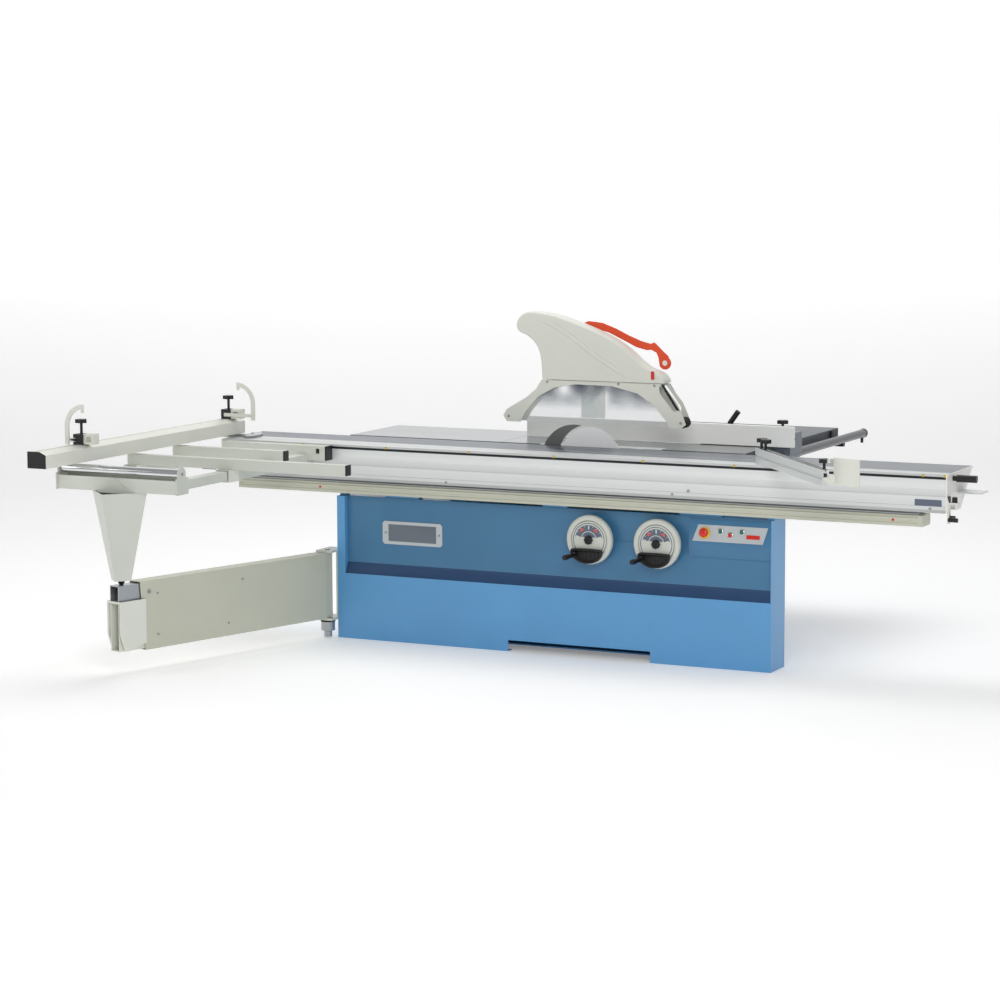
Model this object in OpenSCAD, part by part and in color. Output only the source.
// Sliding-table panel saw: a cast table with a tilting, rising saw unit, a long aluminium
// carriage on a fixed rail, an outrigger frame carried by a telescopic swing arm,
// a rip fence on a round rail and an overhead blade guard.
// Origin: on the floor, straight below the point where the blade meets the table top.
// +X runs against the feed, towards the operator; +Y runs from the carriage to the rip fence; +Z is up.

/* [Table] */
// Height of the table top above the floor
table_z = 890; // [850:10:920]
// Depth of the cast table behind the blade
table_depth = 472; // [440:4:500]
// Length of the right-hand casting, from its left joint
main_table_len = 1178; // [1100:2:1200]
// Length of the outfeed casting
outfeed_len = 768; // [600:4:800]
// Depth of the extension table
extension_depth = 730; // [500:10:800]

/* [Saw blade] */
// Diameter of the main blade
blade_d = 305; // [280:1:315]
// Height of the blade above the table at rest
blade_rise = 92; // [80:1:95]
// Diameter of the scoring blade
scoring_d = 120; // [100:1:125]
// Diameter of the arbor in the blade's bore
arbor_d = 30; // [25:1:30]

/* [Cabinet] */
// Length of the front cabinet
cabinet_len = 2091; // [2000:1:2150]
// Depth of the front cabinet
cabinet_depth = 165; // [160:1:170]
// Height of the front cabinet
cabinet_h = 649; // [640:1:650]
// Height of the lower front panel
lower_panel_h = 298; // [280:1:320]
// Depth of the recess in which the upper panel sits
recess = 27; // [20:1:30]

/* [Carriage] */
// Length of the sliding carriage
carriage_len = 3423; // [3000:1:3500]
// Width of the sliding carriage
carriage_w = 361; // [355:1:361]
// Depth of the carriage beam
carriage_h = 159; // [150:1:160]
// Length of the fixed rail
rail_len = 3227; // [3000:1:3300]

/* [Outrigger] */
// Distance from the blade to the outer support roller
outrigger_reach = 1496; // [1440:4:1540]
// Length of the crosscut fence
crosscut_len = 1590; // [1500:10:1600]
// Length of the swing arm's box from its pivot
arm_len = 1135; // [1100:1:1140]

/* [Hidden] */
$fn = 48;

// Paint and material colours
sky = [0.35, 0.60, 0.80];
deep = [0.26, 0.45, 0.60];
cream = [0.86, 0.87, 0.83];
beige = [0.80, 0.80, 0.75];
steel = [0.72, 0.73, 0.74];
alu = [0.84, 0.85, 0.86];
black = [0.10, 0.10, 0.11];
slate = [0.36, 0.39, 0.42];

// Sheet and running gaps
sheet = 4;
gap = 1;
run = 0.05;

// Cabinet limits
cab_x0 = -1111;
cab_x1 = cab_x0 + cabinet_len;
cab_y0 = -320;
cab_y1 = cab_y0 + cabinet_depth;
panel_y = cab_y0 + recess;
band_h = 50;
band_z = lower_panel_h + band_h;
post_w = 40;
toe_x0 = -254;
toe_x1 = 426;
toe_h = 50;

// Body behind the front cabinet
body_x0 = -700;
body_x1 = 620;
body_y1 = 480;
saw_x = 400;
door_x = 300;
door_z0 = 120;
door_z1 = 520;
hinge_x = -door_x - 12;
hinge_y = body_y1 + 9.5;
dust_x = 450;
dust_z = 250;
dust_r = 60;
floor_t = 6;
hinge_z = [150, 400];
anchor_x = [-640, 560];
anchor_y = [-100, 420];

// Table limits
table_t = 45;
table_y0 = 8;
table_y1 = table_y0 + table_depth;
table_x0 = -450;
table_x1 = table_x0 + main_table_len;
outfeed_x0 = table_x0 - outfeed_len - 2;
top_t = 12;
insert_x0 = -250;
insert_x1 = 340;
insert_y1 = 70;
insert_t = 8;
ext_x0 = -120;
ext_x1 = 735;
ext_y0 = table_y1 + 2;
ext_y1 = ext_y0 + extension_depth;
ext_t = 42;

// Saw unit
arbor_z = table_z + blade_rise - blade_d / 2;
arbor_r = arbor_d / 2;
blade_t = 3;
flange_r = 30;
flange_t = 6.5;
scoring_x = 232;
scoring_z = table_z + 1.5 - scoring_d / 2;
trunnion_r = 235;
trunnion_x = 340;
block_y0 = 150;
block_y1 = 190;
block_z0 = 575;
block_z1 = 660;
guide_x = 150;
guide_y = (block_y0 + block_y1) / 2;
guide_r = 14;
column_y0 = 20;
column_y1 = 130;
column_x = 50;
motor_y0 = 235;
motor_len = 190;
motor_z = 500;
motor_r = 88;
belt_y0 = 205;
belt_w = 22;
arbor_pulley_r = 28;
motor_pulley_r = 42;

// Handwheels
wheel_z = 525;
wheel_r = 108;
wheel_bore = 83;
wheel_y0 = -355;
wheel_y1 = -322;
lift_x = 151;
tilt_x = 467;
grip_x = -62;
grip_z = -66;

// Carriage and rail
car_x0 = -1670;
car_x1 = car_x0 + carriage_len;
car_y1 = -22;
car_y0 = car_y1 - carriage_w;
car_z0 = table_z - carriage_h;
rail_x0 = -1601;
rail_x1 = rail_x0 + rail_len;
rail_y0 = -350;
rail_y1 = -250;
rail_z0 = 666;
rail_z1 = 712;
track_r = 7;
track_z = rail_z1 + track_r - 1.5;
cage_r = 15;
cage_z = track_z + track_r + cage_r + 0.3;
track_in = 14;
cage_half = 700;
lock_y = -367;
lock_z = 712;

// Outrigger
inner_y0 = car_y0 - 56;
slat_t = 45;
beam_z1 = table_z - slat_t;
beam_z0 = beam_z1 - 50;
frame_x0 = -1720;
right_beam_x = -1222;
left_beam_x = -1690;
outer_y = -outrigger_reach;
edge_r = 21;
edge_x0 = -1782;
edge_x1 = -1196;
leg_x = -1500;
leg_z0 = 404;
leg_top = 136;
leg_foot = 50;
slat_y = [-710, -1077];
slat_x1 = [-1144, -630];

// Crosscut fence
cf_x0 = -1737;
cf_x1 = cf_x0 + 92;
cf_y1 = -224;
cf_y0 = cf_y1 - crosscut_len;
cf_z0 = 903;
cf_z1 = 973;
pivot_x = -1691;
pivot_y = -262;
near_y = -1486;
far_y = -290;
near_post_x = -1740;
far_post_x = -1541;

// Swing arm, drawn along -Y from its pivot and then turned
arm_x = -1152;
arm_y = -340;
arm_z0 = 95;
arm_z1 = 392;
arm_w = 70;
arm_reach = sqrt(pow(leg_x - arm_x, 2) + pow(outer_y - arm_y, 2));
arm_turn = atan2(leg_x - arm_x, arm_y - outer_y);
pin_r = 12;

// Mitre fence on the carriage
mitre_x = 908;
mitre_y = -293;
mitre_len = 838;
mitre_turn = -51;
mitre_h = 65;

// Rip fence
rod_x = 790;
rod_z = 848;
rod_r = 20;
rip_y0 = 283;
rip_t = 25;
rip_x0 = -445;
rip_x1 = 850;
rip_z0 = table_z + 3;
rip_z1 = table_z + 94;
carrier_y0 = rip_y0 + rip_t + 1;
rip_lever_x = 480;
rip_lever_z = table_z + 40;

// Overhead guard
mast_x = -552;
mast_y = 1270;
mast_w = 89;
foot_w = 220;
foot_t = 8;
boom_z = 1290;
hood_w = 90;
skirt_t = 4;
roller_r = 24;
roller_in_x = 446;
roller_out_x = -386;
guard_z0 = 990;
roller_z = guard_z0 + roller_r;
guide_plate_x0 = -190;
guide_plate_x1 = -110;
lever_x = -42;
lever_z = 1424;
ring_x = 337;
ring_z = 1268;

module box(x0, x1, y0, y1, z0, z1) {
    translate([x0, y0, z0]) cube([x1 - x0, y1 - y0, z1 - z0]);
}

// Drawing plane (y, z), swept along X
module along_x(x0, x1) {
    translate([x0, 0, 0]) rotate([90, 0, 90]) linear_extrude(x1 - x0) children();
}

// Drawing plane (x, z), swept along Y
module along_y(y0, y1) {
    translate([0, y1, 0]) rotate([90, 0, 0]) linear_extrude(y1 - y0) children();
}

module rod_along_x(x0, x1, y, z, r) {
    translate([x0, y, z]) rotate([0, 90, 0]) cylinder(h = x1 - x0, r = r);
}

module rod_along_y(y0, y1, x, z, r) {
    translate([x, y0, z]) rotate([-90, 0, 0]) cylinder(h = y1 - y0, r = r);
}

module rod_along_z(z0, z1, x, y, r) {
    translate([x, y, z0]) cylinder(h = z1 - z0, r = r);
}

// Five-lobed clamping knob on a stem, with its base at the origin
module star_knob(stem, head) {
    cylinder(h = stem + 1, r = 6);
    translate([0, 0, stem]) linear_extrude(16) polygon([for (i = [0:39])
        let (a = i * 9, r = head * (0.86 + 0.14 * cos(5 * a))) [r * cos(a), r * sin(a)]]);
}

// Square tube standing on its low corner, with wall t
module tube(x0, x1, y0, y1, z0, z1, t, axis) {
    difference() {
        box(x0, x1, y0, y1, z0, z1);
        if (axis == "x") box(x0 - 1, x1 + 1, y0 + t, y1 - t, z0 + t, z1 - t);
        if (axis == "y") box(x0 + t, x1 - t, y0 - 1, y1 + 1, z0 + t, z1 - t);
        if (axis == "z") box(x0 + t, x1 - t, y0 + t, y1 - t, z0 - 1, z1 + 1);
    }
}

// Front cabinet: folded sheet shell, open behind the saw unit
module cabinet_front() {
    color(sky) {
        difference() {
            union() {
                box(cab_x0, cab_x1, cab_y0, cab_y0 + sheet, 0, lower_panel_h);
                box(cab_x0, cab_x0 + sheet, cab_y0, cab_y1, 0, cabinet_h);
                box(cab_x1 - sheet, cab_x1, cab_y0, cab_y1, 0, cabinet_h);
                box(cab_x0, cab_x1, cab_y0 + sheet, cab_y0 + 40, 0, sheet);
                box(cab_x0, cab_x0 + post_w, cab_y0, cab_y0 + sheet, lower_panel_h, cabinet_h);
                box(cab_x0 + post_w - sheet, cab_x0 + post_w, cab_y0, panel_y + sheet,
                    lower_panel_h, cabinet_h);
                box(cab_x0, body_x0, cab_y1 - sheet, cab_y1, 0, cabinet_h);
                box(body_x1, cab_x1, cab_y1 - sheet, cab_y1, 0, cabinet_h);
                box(cab_x0, -saw_x, panel_y + sheet, cab_y1, cabinet_h - sheet, cabinet_h);
                box(saw_x, cab_x1, panel_y + sheet, cab_y1, cabinet_h - sheet, cabinet_h);
                box(-saw_x, saw_x, panel_y + sheet, rail_y1, cabinet_h - sheet, cabinet_h);
            }
            box(toe_x0, toe_x1, cab_y0 - 1, cab_y0 + 41, -1, toe_h);
        }
        rail_pads();
    }
}

// Welded pads that carry the fixed rail
module rail_pads() {
    for (span = [[-1111, -1080], [-880, -710], [-100, 20], [547, 743], [949, 980]])
        box(span[0], span[1], panel_y + sheet, rail_y1, cabinet_h, rail_z0);
}

// Recessed upper panel with the sloping band below it
module upper_panel() {
    color(deep) difference() {
        along_x(cab_x0 + post_w, cab_x1 - sheet) polygon([
            [cab_y0, lower_panel_h], [panel_y, band_z], [panel_y, cabinet_h],
            [panel_y + sheet, cabinet_h], [panel_y + sheet, band_z - 1], [cab_y0 + sheet, lower_panel_h]]);
        for (x = [lift_x, tilt_x])
            rod_along_y(panel_y - 1, panel_y + sheet + 1, x, wheel_z, 4.2);
    }
}

// Body behind the front cabinet, with the rear door opening and the dust spigot
module cabinet_body() {
    color(sky) {
        difference() {
            union() {
                for (x = [body_x0, body_x1 - sheet])
                    along_x(x, x + sheet) polygon([
                        [cab_y1, 0], [body_y1, 0], [body_y1, table_z - table_t],
                        [-8, table_z - table_t], [-8, cabinet_h], [cab_y1, cabinet_h]]);
                box(body_x0, body_x1, body_y1 - sheet, body_y1, 0, table_z - table_t);
                box(body_x0, body_x1, cab_y1, body_y1, 0, floor_t);
                for (span = [[body_x0, -saw_x], [saw_x, body_x1]]) {
                    box(span[0], span[1], cab_y1, -4, cabinet_h - sheet, cabinet_h);
                    box(span[0], span[1], -8, -4, cabinet_h - sheet, table_z - table_t);
                }
                rod_along_y(body_y1 - sheet, body_y1 + 60, dust_x, dust_z, dust_r);
            }
            box(-door_x, door_x, body_y1 - 10, body_y1 + 1, door_z0, door_z1);
            rod_along_y(body_y1 - 10, body_y1 + 61, dust_x, dust_z, dust_r - 3);
            for (x = anchor_x)
                for (y = anchor_y)
                    rod_along_z(-1, floor_t + 1, x, y, 7);
        }
        for (z = hinge_z) {
            rod_along_z(z, z + 40, hinge_x, hinge_y, 8);
            rod_along_z(z + 40, z + 86, hinge_x, hinge_y, 5);
            box(hinge_x - 28, hinge_x, body_y1, body_y1 + 6, z, z + 40);
        }
    }
}

// Fixed rail: ribbed extrusion, two hardened tracks and the end covers
module fixed_rail() {
    color(alu) along_x(rail_x0, rail_x1) difference() {
        polygon([
            [rail_y0, rail_z0], [rail_y1, rail_z0], [rail_y1, rail_z1], [rail_y0 + 4, rail_z1],
            [rail_y0 + 4, 704], [rail_y0, 700], [rail_y0, 690], [rail_y0 + 3, 688],
            [rail_y0 + 3, 680], [rail_y0, 678]]);
        translate([rail_y0 + 12, rail_z0 + 6]) square([34, 32]);
        translate([rail_y0 + 54, rail_z0 + 6]) square([34, 32]);
    }
    color(steel) for (y = [rail_y0 + track_in, rail_y1 - track_in])
        rod_along_x(rail_x0, rail_x1, y, track_z, track_r);
    color(beige) {
        along_x(rail_x1, rail_x1 + 22) polygon([
            [rail_y0, rail_z0], [rail_y1, rail_z0], [rail_y1, rail_z1], [rail_y0, rail_z1]]);
        box(rail_x0 - 6, rail_x0, rail_y0, rail_y1, rail_z0, rail_z1);
    }
}

// Open-bottomed casting: top plate, rim and cross ribs
module casting(x0, x1, y0, y1, ribs) {
    difference() {
        box(x0, x1, y0, y1, table_z - table_t, table_z);
        box(x0 + 12, x1 - 12, y0 + 12, y1 - 12, table_z - table_t - 1, table_z - top_t);
    }
    for (i = [1:ribs])
        box(x0 + i * (x1 - x0) / (ribs + 1) - 5, x0 + i * (x1 - x0) / (ribs + 1) + 5,
            y0 + 11, y1 - 11, table_z - table_t + 2, table_z - top_t + 1);
}

// Polished castings: the main table and the outfeed table
module main_table() {
    color(steel) {
        difference() {
            union() {
                casting(table_x0, table_x1, table_y0, table_y1, 0);
                for (x = [-trunnion_x, trunnion_x])
                    box(x - 12, x + 12, insert_y1 + 30, table_y1 - 11,
                        table_z - table_t, table_z - top_t + 1);
            }
            box(insert_x0, insert_x1, table_y0 - 1, insert_y1, table_z - table_t - 1, table_z + 1);
        }
        box(insert_x0 - 14, insert_x1 + 14, insert_y1, insert_y1 + 12, table_z - 18, table_z - top_t + 1);
        casting(outfeed_x0, table_x0 - 2, table_y0, table_y1, 3);
        for (y = [120, 360])
            rod_along_x(table_x0 - 30, table_x0 + 28, y, table_z - 30, 6);
    }
}

// Removable throat plate with its blade clearance
module table_insert() {
    color(alu) difference() {
        box(insert_x0 + 0.5, insert_x1 - 0.5, table_y0, insert_y1 - 0.5, table_z - insert_t, table_z);
        for (x = [insert_x0 + 20, insert_x1 - 20])
            rod_along_z(table_z - insert_t - 1, table_z + 1, x, 40, 3);
    }
    color(steel) for (x = [insert_x0 + 30, insert_x1 - 62])
        box(x, x + 32, 20, insert_y1, table_z - insert_t - 6, table_z - insert_t);
}

// Laminated extension table with folded struts down to the cabinet
module extension_table() {
    color(slate) difference() {
        box(ext_x0, ext_x1, ext_y0, ext_y1, table_z - ext_t, table_z);
        box(ext_x0 + 20, ext_x1 - 20, ext_y0 + 20, ext_y1 - 20, table_z - ext_t - 1, table_z - 20);
    }
    color(black) for (x = [20, 560])
        along_x(x, x + 30) polygon([
            [body_y1, table_z - 75], [ext_y1 - 120, table_z - 75], [ext_y1 - 120, table_z - ext_t],
            [body_y1 + 2, table_z - ext_t], [body_y1 + 2, table_z - table_t - 1],
            [body_y1, table_z - table_t - 1]]);
    color(black) for (x = [20, 560])
        along_x(x + 5, x + 25) polygon([
            [body_y1, table_z - 260], [body_y1, table_z - 300],
            [ext_y1 - 180, table_z - 75], [ext_y1 - 240, table_z - 75]]);
}

// Round rail of the rip fence on three table brackets
module fence_rod() {
    color(slate) {
        difference() {
            rod_along_y(20, ext_y1 + 200, rod_x, rod_z, rod_r);
            rod_along_y(19, 60, rod_x, rod_z, 8);
        }
        rod_along_y(ext_y1 + 200, ext_y1 + 206, rod_x, rod_z, rod_r + 2);
    }
    color(black) {
        for (spot = [[table_x1, 60], [table_x1, 440], [ext_x1, 1110]]) {
            box(spot[0], spot[0] + 8, spot[1] - 14, spot[1] + 14, rod_z - 33, table_z - 5);
            box(spot[0] + 7, rod_x + 10, spot[1] - 14, spot[1] + 14, rod_z - 33, rod_z - rod_r + 1);
        }
        rod_along_z(rod_z - rod_r - 24, rod_z - rod_r + 3, rod_x, ext_y1 + 185, 7);
    }
}

// Square mast of the overhead guard: it stands on the floor past the rip fence's travel
// and is tied to the back of the cabinet
module guard_mast() {
    color(beige) {
        tube(mast_x - mast_w / 2, mast_x + mast_w / 2, mast_y - mast_w / 2, mast_y + mast_w / 2,
             foot_t, boom_z - 50, 5, "z");
        box(mast_x - foot_w / 2, mast_x + foot_w / 2, mast_y - foot_w / 2, mast_y + foot_w / 2,
            0, foot_t);
        box(mast_x - mast_w / 2, mast_x + mast_w / 2, mast_y - mast_w / 2, mast_y + mast_w / 2,
            boom_z - 50, boom_z - 42);
        rod_along_z(boom_z - 42, boom_z + 40, mast_x, mast_y, 25);
        box(mast_x - foot_w / 2, mast_x - mast_w / 2, body_y1, mast_y + 30, 640, 700);
    }
}

// Sloping control housing on the upper panel
module console() {
    color(sky) difference() {
        along_x(600, cab_x1 - sheet) polygon([
            [panel_y, 470], [panel_y - 8, 478], [panel_y - 22, face_z0], [panel_y - 2, face_z1],
            [panel_y, face_z1]]);
        for (spot = button_spots)
            on_console(spot[0], spot[1]) translate([0, 0, -7]) cylinder(h = 9, r = spot[2] + 0.5);
    }
}

face_z0 = 530;
face_z1 = 640;

// Places a child on the sloping face of the console; local +Z leaves the face
module on_console(x, up) {
    translate([x, panel_y - 22, face_z0]) rotate([90 - atan2(20, face_z1 - face_z0), 0, 0])
        translate([0, up, 0]) children();
}

// Blank badge and blank console plate, each with its screws
module face_plates() {
    color(steel) along_y(panel_y - 4, panel_y) polygon([
        [-890, 450], [-880, 440], [-600, 440], [-590, 450], [-590, 534], [-600, 544],
        [-880, 544], [-890, 534]]);
    color(steel) {
        on_console(0, 0) difference() {
            linear_extrude(2) polygon([[617, 15], [937, 15], [957, 86], [640, 86]]);
            for (spot = button_spots)
                translate([spot[0], spot[1], -1]) cylinder(h = 4, r = spot[2] + 1);
        }
        for (x = [630, 926])
            on_console(x, 23) translate([0, 0, 2]) cylinder(h = 2, r = 3);
    }
    color("firebrick") on_console(862, 35) translate([0, 0, 2]) cube([60, 17, 2]);
}

// Centre and stem radius of the emergency stop and the three push buttons
button_spots = [[671, 50, 12], [743, 60, 9], [788, 46, 9], [840, 62, 9]];

module button(i, head_r, head_t, lift) {
    on_console(button_spots[i][0], button_spots[i][1]) {
        translate([0, 0, -2]) cylinder(h = lift + 2, r = button_spots[i][2]);
        translate([0, 0, lift]) cylinder(h = head_t, r = head_r);
    }
}

module estop_button() {
    color("red") button(0, 20, 12, 12);
}

module start_button() {
    color("green") button(1, 8.4, 2, 6);
}

module stop_button() {
    color("red") button(2, 8.4, 2, 6);
}

module scoring_button() {
    color("green") button(3, 8.4, 2, 6);
}

// Curved bar about the tilt axis, its ends at angles from straight down towards +Y
module arc_bar(x0, x1, r0, r1, a0, a1) {
    mid = (a0 + a1) / 2;
    intersection() {
        difference() {
            rod_along_x(x0, x1, 0, table_z, r1);
            rod_along_x(x0 - 1, x1 + 1, 0, table_z, r0);
        }
        along_x(x0 - 1, x1 + 1) polygon(concat(
            [[0, table_z]],
            [for (a = [a0, mid, a1]) [2 * r1 * sin(a), table_z - 2 * r1 * cos(a)]]));
    }
}

// Two fixed segments under the table that carry the tilting cradle
module trunnions() {
    color("dimgray") for (x = [-trunnion_x, trunnion_x])
        difference() {
            arc_bar(x - 10, x + 10, trunnion_r - 40, trunnion_r, 22, 84);
            box(x - 11, x + 11, 0, 400, table_z - table_t, table_z);
        }
}

// Tilting cradle: two shoes on the trunnions, a cross plate and the lift guides
module tilt_cradle() {
    color("gray") {
        for (x = [-trunnion_x, trunnion_x])
            arc_bar(x - 10, x + 10, trunnion_r + 1, trunnion_r + 34, 24, 72);
        for (x = [-trunnion_x, trunnion_x])
            box(x - 10, x + 10, block_y0 - 30, block_y0 + 14, block_z0 - 125, block_z1 + 12);
        box(-trunnion_x, trunnion_x, block_y0, block_y1, block_z0 - 125, block_z0 - 105);
        box(-trunnion_x, trunnion_x, block_y0, block_y1, block_z1 + 30, block_z1 + 46);
        for (x = [-guide_x, guide_x])
            rod_along_z(block_z0 - 115, block_z1 + 40, x, guide_y, guide_r);
    }
}

// Rising block with the spindle bearings, riding on the two guide rods
module arbor_housing() {
    color("slategray") difference() {
        union() {
            box(-190, 190, block_y0, block_y1, block_z0, block_z1);
            box(-column_x, column_x, column_y0, block_y0 + 1, block_z0 + 25, block_z0 + 65);
            box(-column_x, column_x, column_y0, column_y1, block_z0 + 60, arbor_z);
            rod_along_y(column_y0, column_y1, 0, arbor_z, 30);
            box(column_x - 1, scoring_x + 30, column_y0, 60, 650, 700);
            box(scoring_x - 26, scoring_x + 26, column_y0, 60, 690, scoring_z);
            rod_along_y(column_y0, 60, scoring_x, scoring_z, 25);
        }
        rod_along_y(column_y0 - 1, column_y1 + 1, 0, arbor_z, arbor_r + run);
        rod_along_y(column_y0 - 1, 61, scoring_x, scoring_z, 8 + run);
        for (x = [-guide_x, guide_x])
            rod_along_z(block_z0 - 1, block_z1 + 1, x, guide_y, guide_r + run);
    }
}

// Drive motor with cooling fins, bolted under the rising block
module motor() {
    color("steelblue") {
        difference() {
            union() {
                rod_along_y(motor_y0, motor_y0 + motor_len, 0, motor_z, motor_r);
                for (i = [0:8])
                    rod_along_y(motor_y0 + 14 + i * 20, motor_y0 + 18 + i * 20, 0, motor_z, motor_r + 7);
            }
            rod_along_y(motor_y0 - 1, motor_y0 + 60, 0, motor_z, 12 + run);
        }
        box(-95, 95, motor_y0 + 15, motor_y0 + 65, block_z0, block_z0 + 25);
        for (x = [-95, 75])
            box(x, x + 20, block_y1, motor_y0 + 65, block_z0, block_z0 + 25);
    }
}

// Flanged belt pulley turning about a line along Y
module pulley(x, z, r) {
    rod_along_y(belt_y0, belt_y0 + belt_w, x, z, r);
    for (y = [belt_y0 - 1, belt_y0 + belt_w - 1])
        rod_along_y(y, y + 2, x, z, r + 3);
}

// Spindle: shaft, inner flange, outer flange, nut and driven pulley
module arbor() {
    color(steel) {
        rod_along_y(-blade_t / 2 - flange_t, belt_y0 + belt_w + 1, 0, arbor_z, arbor_r);
        rod_along_y(blade_t / 2, blade_t / 2 + 10, 0, arbor_z, flange_r + 8);
        rod_along_y(-blade_t / 2 - flange_t, -blade_t / 2, 0, arbor_z, flange_r);
        translate([0, -blade_t / 2 - flange_t, arbor_z]) rotate([90, 0, 0]) cylinder(h = 8, r = 22, $fn = 6);
        pulley(0, arbor_z, arbor_pulley_r);
    }
}

// Motor shaft and driving pulley
module motor_pulley() {
    color(steel) {
        rod_along_y(belt_y0 - 1, motor_y0 + 55, 0, motor_z, 12);
        pulley(0, motor_z, motor_pulley_r);
    }
}

// Outline round two pulleys, r larger than each
module belt_loop(r) {
    hull() {
        translate([0, arbor_z]) circle(r = arbor_pulley_r + r);
        translate([0, motor_z]) circle(r = motor_pulley_r + r);
    }
}

module drive_belt() {
    color(black) along_y(belt_y0 + 1.5, belt_y0 + belt_w - 1.5) difference() {
        belt_loop(7);
        belt_loop(3.2);
    }
}

// Toothed disc lying in the blade plane
module saw_disc(x, z, d, bore, t, teeth) {
    translate([x, t / 2, z]) rotate([90, 0, 0]) difference() {
        linear_extrude(t) polygon([for (i = [0:teeth - 1]) for (k = [0:1])
            let (a = 360 * (i + 0.62 * k) / teeth, r = d / 2 - (k == 0 ? 0 : 8)) [r * cos(a), r * sin(a)]]);
        translate([0, 0, -1]) cylinder(h = t + 2, r = bore / 2);
    }
}

module main_blade() {
    color("silver") saw_disc(0, arbor_z, blade_d, arbor_d, blade_t, 60);
}

// Scoring blade on its own short arbor
module scoring_blade() {
    color("silver") saw_disc(scoring_x, scoring_z, scoring_d, 12, blade_t, 24);
    color(steel) {
        rod_along_y(blade_t / 2, 75, scoring_x, scoring_z, 8);
        rod_along_y(-blade_t / 2 - 5, blade_t / 2, scoring_x, scoring_z, 6);
        rod_along_y(-blade_t / 2 - 5, -blade_t / 2, scoring_x, scoring_z, 18);
        rod_along_y(blade_t / 2, blade_t / 2 + 6, scoring_x, scoring_z, 20);
        rod_along_y(64, 90, scoring_x, scoring_z, 24);
    }
}

// Crescent-shaped riving knife with its foot
module riving_knife() {
    knife_r = blade_d / 2 + 5;
    foot_z = arbor_z - 129;
    color("dimgray") {
        along_y(-1.2, 1.2) difference() {
            intersection() {
                translate([-75, arbor_z - 10]) circle(r = 165);
                translate([-300, foot_z]) square([257, 300]);
            }
            translate([0, arbor_z]) circle(r = knife_r);
        }
        box(-175, -130, -1.2, column_y0, foot_z, foot_z + 22);
        box(-175, -column_x, column_y0, column_y0 + 25, foot_z, foot_z + 22);
    }
}

// Handwheel: rim, back plate, hub and the tray of its folding grip
module handwheel(x) {
    color(cream) difference() {
        union() {
            rod_along_y(wheel_y0, wheel_y1, x, wheel_z, wheel_r);
            rod_along_y(wheel_y1, panel_y - 1, x, wheel_z, 18);
        }
        rod_along_y(wheel_y0 - 1, wheel_y1 - 6, x, wheel_z, wheel_bore);
        rod_along_y(wheel_y0 - 1, panel_y, x, wheel_z, 5);
    }
    color(black) difference() {
        along_y(wheel_y0 - 20, wheel_y0) translate([x, wheel_z])
            intersection() {
                circle(r = wheel_r - 2);
                translate([-84, -100]) square([152, 64]);
            }
        box(x + grip_x - 14, x + 58, wheel_y0 - 21, wheel_y0 - 4,
            wheel_z + grip_z - 16, wheel_z + grip_z + 16);
    }
}

// Grip that folds into the handwheel's tray, shown swung out
module grip(x) {
    color(black) {
        rod_along_y(wheel_y0 - 125, wheel_y0 - 30, x + grip_x, wheel_z + grip_z, 10);
        rod_along_y(wheel_y0 - 30, wheel_y0 - 17, x + grip_x, wheel_z + grip_z, 7);
        rod_along_z(wheel_z + grip_z - 14, wheel_z + grip_z + 14, x + grip_x, wheel_y0 - 17, 7.5);
    }
}

module lift_wheel() {
    handwheel(lift_x);
}

module lift_handle() {
    grip(lift_x);
}

module tilt_wheel() {
    handwheel(tilt_x);
}

module tilt_handle() {
    grip(tilt_x);
}

// Upright position gauges in the middle of the handwheels, held by thin spindles
module wheel_gauges() {
    for (x = [lift_x, tilt_x]) {
        color(cream) {
            rod_along_y(wheel_y0 + 2, wheel_y0 + 22, x, wheel_z, wheel_bore - 1);
            rod_along_y(wheel_y0 + 22, panel_y + sheet + 6, x, wheel_z, 4);
        }
        color(black) rod_along_y(wheel_y0 - 14, wheel_y0 + 2, x, wheel_z, 20);
    }
}

// Rear access door with its hinge leaves and latch
module rear_door() {
    color(sky) difference() {
        union() {
            box(-door_x - 5, door_x + 12, body_y1 + 2, body_y1 + 6, door_z0 - 12, door_z1 + 12);
            for (z = hinge_z) {
                rod_along_z(z + 42, z + 84, hinge_x, hinge_y, 8);
                box(hinge_x, hinge_x + 32, body_y1 + 2, body_y1 + 6, z + 42, z + 84);
            }
        }
        for (z = hinge_z) {
            rod_along_z(z + 41, z + 87, hinge_x, hinge_y, 5 + run);
            box(hinge_x - 9, hinge_x + 10, body_y1 + 1, body_y1 + 20, z - 2, z + 42);
        }
    }
    color(black) rod_along_y(body_y1 + 6, body_y1 + 24, door_x - 20, 320, 14);
}

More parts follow.
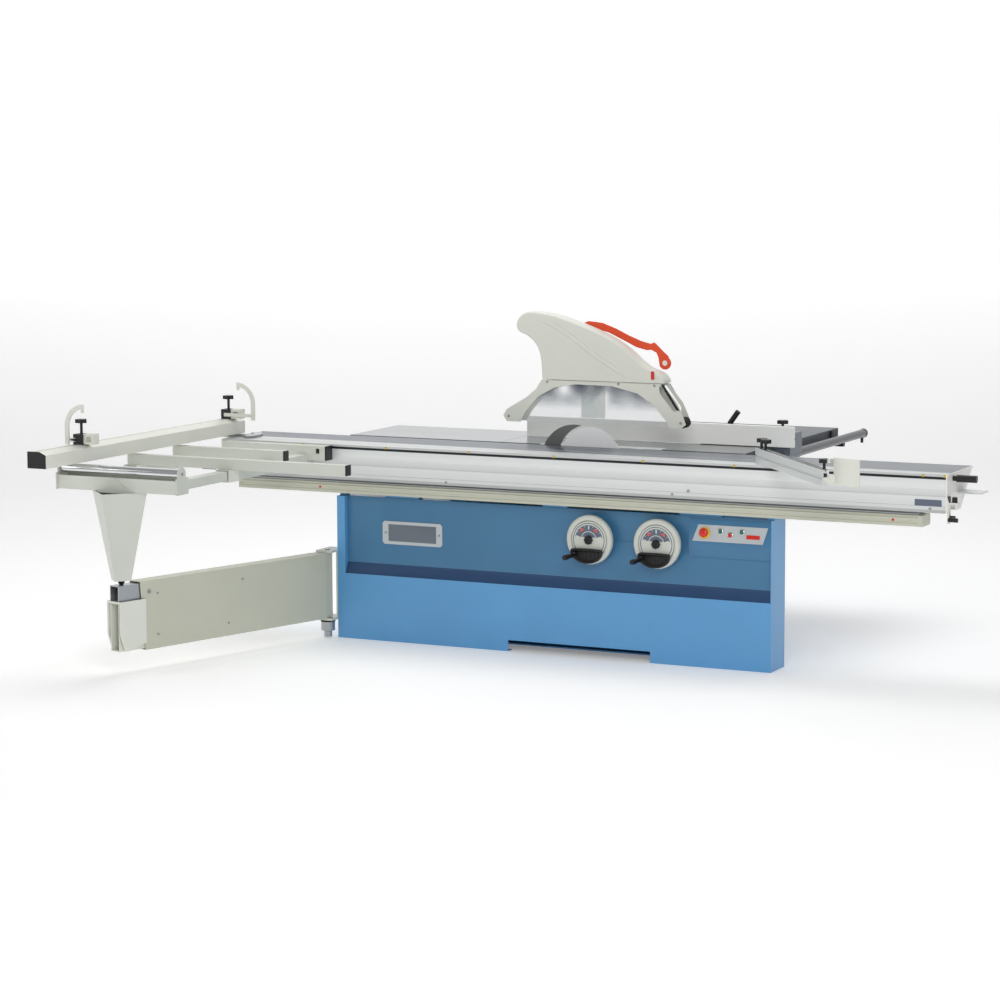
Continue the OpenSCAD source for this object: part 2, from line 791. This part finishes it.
// Aluminium carriage profile: front slot, grooved top, roller channel and chamfered far side
module carriage_profile() {
    difference() {
        polygon([
            [car_y0, car_z0], [car_y0, car_z0 + 26], [car_y0 + 2, car_z0 + 28],
            [car_y0 + 2, car_z0 + 100], [car_y0, car_z0 + 102], [car_y0, table_z],
            [car_y1, table_z], [car_y1, table_z - 7], [car_y1 - 16, table_z - 7],
            [car_y1 - 168, car_z0]]);
        // front T-slot
        translate([car_y0 - 1, table_z - 20]) square([9, 10]);
        translate([car_y0 + 7, table_z - 27]) square([10, 20]);
        // roller channel
        translate([rail_y0 - 2, car_z0 - 1]) square([rail_y1 - rail_y0 + 4, 29]);
        // hollow chambers
        translate([car_y0 + 24, car_z0 + 36]) square([130, 84]);
        polygon([
            [car_y0 + 162, car_z0 + 36], [car_y0 + 205, car_z0 + 36],
            [car_y0 + 270, car_z0 + 101], [car_y0 + 270, car_z0 + 120], [car_y0 + 162, car_z0 + 120]]);
        // shallow grooves in the top
        for (y = [car_y0 + 64, car_y0 + 168, car_y0 + 186, car_y0 + 300])
            translate([y, table_z - 1.5]) square([5, 3]);
    }
}

module carriage_beam() {
    color(alu) along_x(car_x0, car_x1) carriage_profile();
}

// White end covers, the pull handle, its shelf and the lock bracket
module carriage_caps() {
    color("white") for (x = [car_x0 - 6, car_x1])
        along_x(x, x + 6) polygon([
            [car_y0, car_z0], [car_y0, table_z - 1], [car_y1, table_z - 1],
            [car_y1, table_z - 7], [car_y1 - 16, table_z - 7], [car_y1 - 168, car_z0],
            [rail_y1 + 2, car_z0], [rail_y1 + 2, car_z0 + 28], [rail_y0 - 2, car_z0 + 28],
            [rail_y0 - 2, car_z0]]);
    color(black) {
        rod_along_x(car_x1 + 6, car_x1 + 22, car_y0 + 80, 868, 11);
        rod_along_x(car_x1 + 22, car_x1 + 106, car_y0 + 80, 868, 15);
    }
    color(alu) box(car_x1 + 6, car_x1 + 110, car_y0 + 130, car_y0 + 230, 800, 806);
    color(beige) {
        difference() {
            box(car_x1 + 6, car_x1 + 14, lock_y - 12, lock_y + 12, 690, 800);
            rod_along_x(car_x1 + 5, car_x1 + 15, lock_y, lock_z, 6 + run);
        }
        box(car_x1 + 14, car_x1 + 50, lock_y - 12, lock_y + 12, 770, 776);
    }
    color(black) rod_along_z(776, 798, car_x1 + 34, lock_y, 11);
}

// Lever that clamps the carriage to its rail
module lock_lever() {
    color(black) {
        rod_along_x(car_x1 + 7, car_x1 + 16, lock_y, lock_z, 6);
        rod_along_x(car_x1 + 15, car_x1 + 36, lock_y, lock_z, 10);
        box(car_x1 + 26, car_x1 + 36, lock_y - 60, lock_y, lock_z - 6, lock_z + 6);
        rod_along_x(car_x1 + 26, car_x1 + 66, lock_y - 60, lock_z, 9);
    }
}

// Roller cage between rail and carriage, with its rollers
module roller_cage() {
    color(steel) {
        difference() {
            box(-cage_half, cage_half, rail_y0 + 24, rail_y1 - 24, cage_z - 4, cage_z + 4);
            for (i = [-3:3])
                rod_along_z(cage_z - 5, cage_z + 5, i * 200 + 20, (rail_y0 + rail_y1) / 2, 14);
        }
        for (i = [0:5]) {
            x = -cage_half + 100 + i * 240;
            rod_along_y(rail_y0 + 9, rail_y1 - 9, x, cage_z, 5);
            for (y = [rail_y0 + track_in, rail_y1 - track_in])
                rod_along_y(y - 5, y + 5, x, cage_z, cage_r);
        }
    }
}

// Outrigger frame: inner beam, two telescopic cross beams with collars and the outer channel
module outrigger_frame() {
    color(cream) {
        difference() {
            tube(frame_x0 + 80, -1104, inner_y0, car_y0 - 0.5, 820, 884, 4, "x");
            box(-1150, -1132, inner_y0 - 1, inner_y0 + 5, 850, 872);
        }
        for (x = [left_beam_x, right_beam_x]) {
            tube(x - 30, x + 30, -1120, inner_y0, beam_z0, beam_z1, 4, "y");
            tube(x - 25, x + 25, outer_y + 46, -1122, beam_z0 + 5, beam_z1 - 5, 4, "y");
            box(x - 20, x + 20, inner_y0 + 4, inner_y0 + 44, 800, 820);
        }
        // outer channel and its end plates
        difference() {
            box(edge_x0 - 4, edge_x1, outer_y - 36, outer_y + 46, 785, 843);
            box(edge_x0 - 3, edge_x1 - 6, outer_y - 30, outer_y + 40, 791, 844);
        }
        for (x = [edge_x0 - 10, edge_x1])
            difference() {
                along_x(x, x + 6) union() {
                    translate([outer_y - 42, 783]) square([92, 70]);
                    translate([outer_y, 869]) circle(r = 30);
                    translate([outer_y - 30, 850]) square([60, 19]);
                }
                rod_along_x(x - 1, x + 7, outer_y, 869, 8 + run);
            }
    }
    color("gray") for (x = [left_beam_x, right_beam_x])
        tube(x - 33, x + 33, -1122, -1042, beam_z0 - 3, beam_z1, 2.9, "y");
    color(black) {
        rod_along_z(beam_z0 - 24, beam_z0, left_beam_x, inner_y0 - 30, 10);
        rod_along_x(left_beam_x - 35, left_beam_x + 35, inner_y0 - 30, beam_z0 - 30, 8);
    }
}

// Work-support slats on the cross beams
module support_slats() {
    color(cream) for (i = [0:1])
        tube(frame_x0, slat_x1[i] - 6, slat_y[i] - 20, slat_y[i] + 20, beam_z1, table_z, 3, "x");
}

// Black plugs in the open ends of the slats and the inner beam
module end_plugs() {
    color(black) {
        for (i = [0:1])
            box(slat_x1[i] - 6, slat_x1[i], slat_y[i] - 20, slat_y[i] + 20, beam_z1, table_z);
        box(-1104, -1096, inner_y0, car_y0 - 0.5, 820, 884);
    }
}

// Tapered folded leg below the outer beam: a hollow, four-sided post set corner forward
module support_leg() {
    leg_z1 = 783;
    flare = (leg_top - leg_foot) / (leg_z1 - leg_z0);
    wall = 3 * sqrt(2);
    color(cream) {
        translate([leg_x, outer_y, 0]) difference() {
            translate([0, 0, leg_z0]) cylinder(h = leg_z1 - leg_z0, r1 = leg_foot, r2 = leg_top, $fn = 4);
            translate([0, 0, leg_z0 + 6])
                cylinder(h = leg_z1 - leg_z0, r1 = leg_foot + 6 * flare - wall,
                         r2 = leg_top + 6 * flare - wall, $fn = 4);
        }
        box(leg_x - 70, leg_x + 70, outer_y - 30, outer_y + 30, leg_z1 - 4, leg_z1 + 2);
        along_y(outer_y - 41, outer_y - 36) polygon([
            [leg_x - 90, leg_z1 - 4], [leg_x + 90, leg_z1 - 4], [leg_x + 6, 838], [leg_x - 6, 838]]);
    }
}

// Long chromed roller on its axle
module edge_roller() {
    color("gainsboro") {
        rod_along_x(edge_x0 + 6, edge_x1 - 4, outer_y, 869, edge_r);
        rod_along_x(edge_x0 - 12, edge_x1 + 8, outer_y, 869, 8);
    }
}

// Crosscut fence extrusion with its end plug
module crosscut_fence() {
    color(cream) difference() {
        along_y(cf_y0, cf_y1) difference() {
            polygon([
                [cf_x0, cf_z0], [cf_x1, cf_z0], [cf_x1, cf_z1 - 14], [cf_x1 - 30, cf_z1],
                [cf_x0 + 12, cf_z1], [cf_x0 + 12, cf_z1 - 4], [cf_x0, cf_z1 - 4]]);
            translate([cf_x0 + 8, cf_z0 + 10]) square([26, 38]);
            translate([cf_x0 + 59, cf_z0 + 10]) square([24, 38]);
            translate([cf_x0 + 30, cf_z1 - 6]) square([12, 7]);
        }
        rod_along_z(cf_z0 - 1, cf_z0 + 53, pivot_x, pivot_y, 10 + run);
    }
    color(black) along_y(cf_y0 - 5, cf_y0) polygon([
        [cf_x0, cf_z0], [cf_x1, cf_z0], [cf_x1, cf_z1 - 14], [cf_x1 - 30, cf_z1], [cf_x0, cf_z1]]);
}

// Pivot post and angle quadrant on the carriage
module fence_pivot() {
    plate_z = table_z + 2;
    color(steel) {
        rod_along_z(plate_z, cf_z0 - 1, pivot_x, pivot_y, 26);
        rod_along_z(cf_z0 - 1, cf_z0 + 52, pivot_x, pivot_y, 10);
        translate([pivot_x, pivot_y, plate_z]) rotate(-30) rotate_extrude(angle = 90)
            translate([100, 0]) square([40, 8]);
        box(pivot_x, pivot_x + 110, pivot_y - 12, pivot_y + 12, plate_z, plate_z + 8);
    }
    color(beige) box(pivot_x - 30, pivot_x + 30, pivot_y - 60, pivot_y + 100, table_z, plate_z);
}

// Clamp block of a flip stop, astride the fence, with its knob and reading lens
module stop_block(y, post_x, plate_x0, plate_x1) {
    color(black) {
        box(-1716, -1668, y - 28, y + 28, cf_z1 + 0.5, cf_z1 + 44);
        translate([-1692, y, cf_z1 + 44]) star_knob(46, 26);
    }
    color(beige) {
        difference() {
            box(-1668, -1618, y - 22, y + 22, cf_z1 + 2, cf_z1 + 46);
            box(-1656, -1630, y - 23, y - 6, cf_z1 + 12, cf_z1 + 34);
        }
        rod_along_y(y - 40, y - 29, post_x, cf_z1 + 20, 6);
        box(plate_x0, plate_x1, y - 30, y - 28, cf_z1 + 12, cf_z1 + 28);
    }
}

// Hook-shaped arm, in the (x, z) plane: post on one side, arch and down-turned tip on the other
module hook_outline(reach, rise) {
    bend_z = rise - 90;
    translate([-10, -20]) square([20, bend_z + 20]);
    translate([reach - 10, bend_z]) difference() {
        intersection() {
            circle(r = reach);
            translate([-reach, 0]) square(reach);
        }
        circle(r = reach - 20);
    }
    translate([reach - 22, bend_z + reach - 36]) square([12, 28]);
}

module stop_arm(y) {
    color(beige) difference() {
        along_y(y - 40, y - 31) hook_outline(94, 148);
        rod_along_y(y - 41, y - 30, 0, 0, 6 + run);
    }
}

module stop_block_near() {
    stop_block(near_y, near_post_x, near_post_x - 8, -1700);
}

module stop_arm_near() {
    translate([near_post_x, 0, cf_z1 + 20]) stop_arm(near_y);
}

module stop_block_far() {
    stop_block(far_y, far_post_x, -1700, far_post_x + 8);
}

module stop_arm_far() {
    translate([far_post_x, 0, cf_z1 + 20]) mirror([1, 0, 0]) stop_arm(far_y);
}

// Hinge of the swing arm on the end of the cabinet
module arm_hinge() {
    color(cream) {
        for (z = [arm_z0 - 12, arm_z1 + 1])
            box(arm_x - 40, cab_x0, arm_y - 35, rail_y1, z, z + 10);
        box(cab_x0 - 8, cab_x0, cab_y0, rail_y1, arm_z0 - 12, arm_z1 + 11);
    }
    color(steel) {
        rod_along_z(5, arm_z1 + 16, arm_x, arm_y, pin_r);
        rod_along_z(5, 30, arm_x, arm_y, 18);
        rod_along_z(34, 74, arm_x, arm_y, 32);
        for (z = [150, 330])
            rod_along_x(cab_x0 - 14, cab_x0 - 8, -285, z, 9);
    }
    color(black) rod_along_z(74, arm_z0 - 12, arm_x, arm_y, 34);
}

// Puts a child drawn along -Y from the arm pivot into the arm's direction
module on_arm() {
    translate([arm_x, arm_y, 0]) rotate(arm_turn) children();
}

// Hollow box of the swing arm with its pivot channel
module arm_box() {
    color(cream) on_arm() difference() {
        union() {
            difference() {
                along_x(-arm_w / 2, arm_w / 2) polygon([
                    [-40, arm_z0], [-arm_len + 26, arm_z0], [-arm_len, arm_z1], [-40, arm_z1]]);
                box(-arm_w / 2 + 3, arm_w / 2 - 3, -arm_len - 1, -60, arm_z0 + 3, arm_z1 - 3);
            }
            box(-22, 22, -50, 0, arm_z0, arm_z1);
            rod_along_z(arm_z0, arm_z1, 0, 0, 22);
        }
        rod_along_z(arm_z0 - 1, arm_z1 + 1, 0, 0, pin_r + run);
    }
}

// Telescopic inner arm with the fork head, the height screw and its nuts
module arm_inner() {
    head_y = -arm_reach;
    color(beige) on_arm() {
        difference() {
            box(-28, 28, head_y - 40, -140, arm_z0 + 8, arm_z1 - 8);
            box(-24, 24, head_y - 41, -139, arm_z0 + 12, arm_z1 - 12);
        }
        for (x = [-45, 37])
            along_x(x, x + 8) polygon([
                [head_y + 96, 130], [head_y + 96, 318], [head_y - 44, 318],
                [head_y - 44, 175], [head_y - 20, 105], [head_y + 10, 105]]);
        box(-37, 37, head_y - 44, head_y + 20, 308, 318);
    }
    color(slate) on_arm() for (x = [-37, 28])
        box(x, x + 9, head_y - 30, head_y + 16, 200, 290);
    color(steel) on_arm() for (z = [318, 330])
        translate([0, head_y, z]) cylinder(h = 11, r = 17, $fn = 6);
    color(black) on_arm() rod_along_z(300, leg_z0 - gap, 0, head_y, 9);
}

// Mitre fence clamped across the carriage, with its knobs and end plate
module miter_bar() {
    translate([mitre_x, mitre_y, table_z]) rotate(mitre_turn) {
        color(alu) along_x(0, mitre_len) difference() {
            translate([-15, 1]) square([30, mitre_h]);
            translate([-4, mitre_h - 7]) square([8, 10]);
            translate([-16, 26]) square([6, 10]);
            translate([10, 26]) square([6, 10]);
            translate([-8, 8]) square([16, 44]);
        }
        color(black) {
            box(mitre_len, mitre_len + 5, -15, 15, 1, mitre_h / 2 + 4);
            for (x = [38, 92])
                translate([x, 0, mitre_h + 1]) star_knob(26, 24);
            translate([mitre_len - 16, 0, mitre_h + 1]) star_knob(26, 24);
        }
        color(steel) {
            box(0, 110, -15, 15, 0, 1);
            cylinder(h = 1, r = 15);
        }
        color(beige) {
            box(mitre_len - 30, mitre_len - 6, 15, 44, 10, 40);
            translate([mitre_len - 18, 40, 3]) rotate(30) cube([130, 5, 108]);
        }
    }
}

// Rip fence carrier: clamp on the round rail, table beam and face clamp
module rip_carrier() {
    clamp_y1 = carrier_y0 + 150;
    color(slate) {
        difference() {
            union() {
                box(rod_x - 38, rod_x + 38, carrier_y0, clamp_y1, rod_z + 10, table_z + 60);
                rod_along_y(carrier_y0, clamp_y1, rod_x, rod_z, 34);
                box(400, rod_x - 37, carrier_y0, carrier_y0 + 50, table_z + 1, table_z + 60);
            }
            rod_along_y(carrier_y0 - 1, clamp_y1 + 1, rod_x, rod_z, rod_r + run);
            box(table_x1 - 60, rod_x - 30, carrier_y0 - 1, clamp_y1 + 1, rod_z - 40, table_z + 1);
            box(rod_x - 40, rod_x + 40, carrier_y0 - 1, clamp_y1 + 1, rod_z - 60, rod_z - 13);
            rod_along_y(carrier_y0 - 1, carrier_y0 + 51, rip_lever_x, rip_lever_z, 7 + run);
        }
        translate([rod_x - 35, carrier_y0 + 100, table_z + 60]) star_knob(34, 26);
    }
}

// Sliding face extrusion of the rip fence
module rip_face() {
    color(cream) along_x(rip_x0, rip_x1) difference() {
        translate([rip_y0, rip_z0]) square([rip_t, rip_z1 - rip_z0]);
        translate([rip_y0 + 4, rip_z0 + 5]) square([12, 34]);
        translate([rip_y0 + 4, rip_z0 + 44]) square([12, 42]);
        translate([rip_y0 + rip_t - 5, rip_z0 + 32]) square([6, 10]);
    }
}

// Lever that clamps the face on its carrier
module rip_lever() {
    lever_y = carrier_y0 + 66;
    color(black) {
        rod_along_y(carrier_y0 + 2, lever_y + 6, rip_lever_x, rip_lever_z, 7);
        translate([rip_lever_x, lever_y, rip_lever_z]) rotate([0, 36, 0]) {
            cylinder(h = 61, r = 6);
            translate([0, 0, 60]) cylinder(h = 70, r = 12);
        }
    }
}

// Swinging boom of the overhead guard, from the mast to the hood
boom_end_x = (guide_plate_x0 + guide_plate_x1) / 2;
boom_end_y = 70;
boom_len = sqrt(pow(boom_end_x - mast_x, 2) + pow(mast_y - boom_end_y, 2));
boom_turn = atan2(boom_end_x - mast_x, mast_y - boom_end_y);

module guard_boom() {
    color(beige) {
        translate([mast_x, mast_y, 0]) rotate(boom_turn) {
            difference() {
                rod_along_z(boom_z - 41, boom_z + 41, 0, 0, 42);
                rod_along_z(boom_z - 42, boom_z + 42, 0, 0, 25 + run);
            }
            tube(-25, 25, -boom_len, -41, boom_z - 30, boom_z + 30, 4, "y");
        }
        box(guide_plate_x0 + 5, guide_plate_x1 - 5, hood_w / 2 + 8.5, hood_w / 2 + 31,
            boom_z - 40, boom_z + 40);
    }
}

// Side outline of the hood, in the (x, z) plane
module hood_outline() {
    polygon([
        [-218, 1184], [370, 1184], [372, 1200], [347, 1230], [272, 1254], [173, 1342],
        [60, 1400], [-96, 1454], [-192, 1479], [-286, 1487], [-325, 1468], [-346, 1432],
        [-340, 1405], [-328, 1392], [-288, 1378], [-251, 1346], [-232, 1312], [-222, 1270]]);
}

// Hood: moulded shell with its open underside
module guard_hood() {
    side_y = hood_w / 2;
    color(beige) {
        difference() {
            along_y(-side_y, side_y) hood_outline();
            along_y(-side_y + 4, side_y - 4) intersection() {
                translate([-8, -5]) hood_outline();
                translate([0, 5]) hood_outline();
                translate([-214, 1100]) square([560, 300]);
            }
            box(-210, 350, -side_y + 4, side_y - 4, 1180, 1230);
        }
        box(guide_plate_x0, guide_plate_x1, side_y, side_y + 8, 1195, 1430);
        rod_along_y(side_y, side_y + 12, lever_x, lever_z, 5);
    }
}

// Arched side frame, drawn in the (x, z) plane
module skirt_outline() {
    polygon([
        [-222, 1183], [360, 1183], [430, 1100], [462, 1030], [470, 1008], [448, guard_z0],
        [-395, guard_z0], [-412, 1015], [-395, 1045], [-300, 1100], [-250, 1140]]);
}

module window_outline() {
    polygon([
        [-330, guard_z0], [-300, 1040], [-240, 1110], [-160, 1152], [-60, 1170], [120, 1168],
        [240, 1140], [320, 1090], [380, 1020], [395, guard_z0]]);
}

// Side frames of the guard with cross bolts and the grip
module guard_skirt() {
    color(beige) {
        for (y = [-34, 30])
            along_y(y, y + skirt_t) difference() {
                skirt_outline();
                translate([0, -3]) window_outline();
                for (x = [roller_out_x, roller_in_x])
                    translate([x, roller_z]) circle(r = 6 + run);
                polygon([[343, 1172], [352, 1172], [423, 1078], [420, 1062], [411, 1064], [347, 1140]]);
            }
        for (x = [-195, 325])
            rod_along_y(-32, 32, x, 1175, 5);
    }
    color(black) for (y = [-40, 34])
        along_y(y, y + 6) polygon([[354, 1180], [366, 1180], [441, 1070], [429, 1070]]);
}

// Clear panels inside the arches
module guard_window() {
    color("lightblue", 0.4) for (y = [-29.5, 26.5])
        along_y(y, y + 3) intersection() {
            translate([0, 3]) window_outline();
            translate([-400, guard_z0]) square([900, 178]);
        }
}

// Roller of the guard with its axle through both side frames
module guard_roller(x) {
    color(black) rod_along_y(-26, 26, x, roller_z, roller_r);
    color(steel) {
        rod_along_y(-36, -26, x, roller_z, 6);
        rod_along_y(26, 36, x, roller_z, 6);
    }
}

module guard_roller_infeed() {
    guard_roller(roller_in_x);
}

module guard_roller_outfeed() {
    guard_roller(roller_out_x);
}

// Height lever of the guard, hinged on the hood's nose
module guard_lever() {
    near_y = hood_w / 2 + 1;
    far_y = near_y + 8;
    color("orangered") difference() {
        union() {
            along_y(near_y, far_y) polygon([
                [lever_x + 5, lever_z + 13], [-5, 1439], [44, 1426], [118, 1396], [209, 1360], [264, 1347],
                [331, 1290], [317, 1275], [282, 1306], [240, 1324], [204, 1329],
                [154, 1350], [105, 1374], [44, 1400], [-5, 1417], [lever_x + 7, lever_z - 9]]);
            rod_along_y(near_y, far_y, lever_x, lever_z, 14);
            rod_along_y(near_y, far_y, ring_x, ring_z, 29);
        }
        rod_along_y(near_y - 1, far_y + 1, lever_x, lever_z, 5 + run);
        rod_along_y(near_y - 1, far_y + 1, ring_x, ring_z, 12);
    }
}

cabinet_front();
upper_panel();
cabinet_body();
fixed_rail();
main_table();
table_insert();
extension_table();
fence_rod();
guard_mast();
console();
face_plates();
trunnions();
arm_hinge();
wheel_gauges();
rear_door();
tilt_cradle();
arbor_housing();
motor();
motor_pulley();
drive_belt();
riving_knife();
arbor();
main_blade();
scoring_blade();
lift_wheel();
lift_handle();
tilt_wheel();
tilt_handle();
estop_button();
start_button();
stop_button();
scoring_button();
carriage_beam();
carriage_caps();
lock_lever();
roller_cage();
outrigger_frame();
support_slats();
end_plugs();
support_leg();
edge_roller();
crosscut_fence();
fence_pivot();
stop_block_near();
stop_arm_near();
stop_block_far();
stop_arm_far();
arm_box();
arm_inner();
miter_bar();
rip_carrier();
rip_face();
rip_lever();
guard_boom();
guard_hood();
guard_skirt();
guard_window();
guard_roller_infeed();
guard_roller_outfeed();
guard_lever();
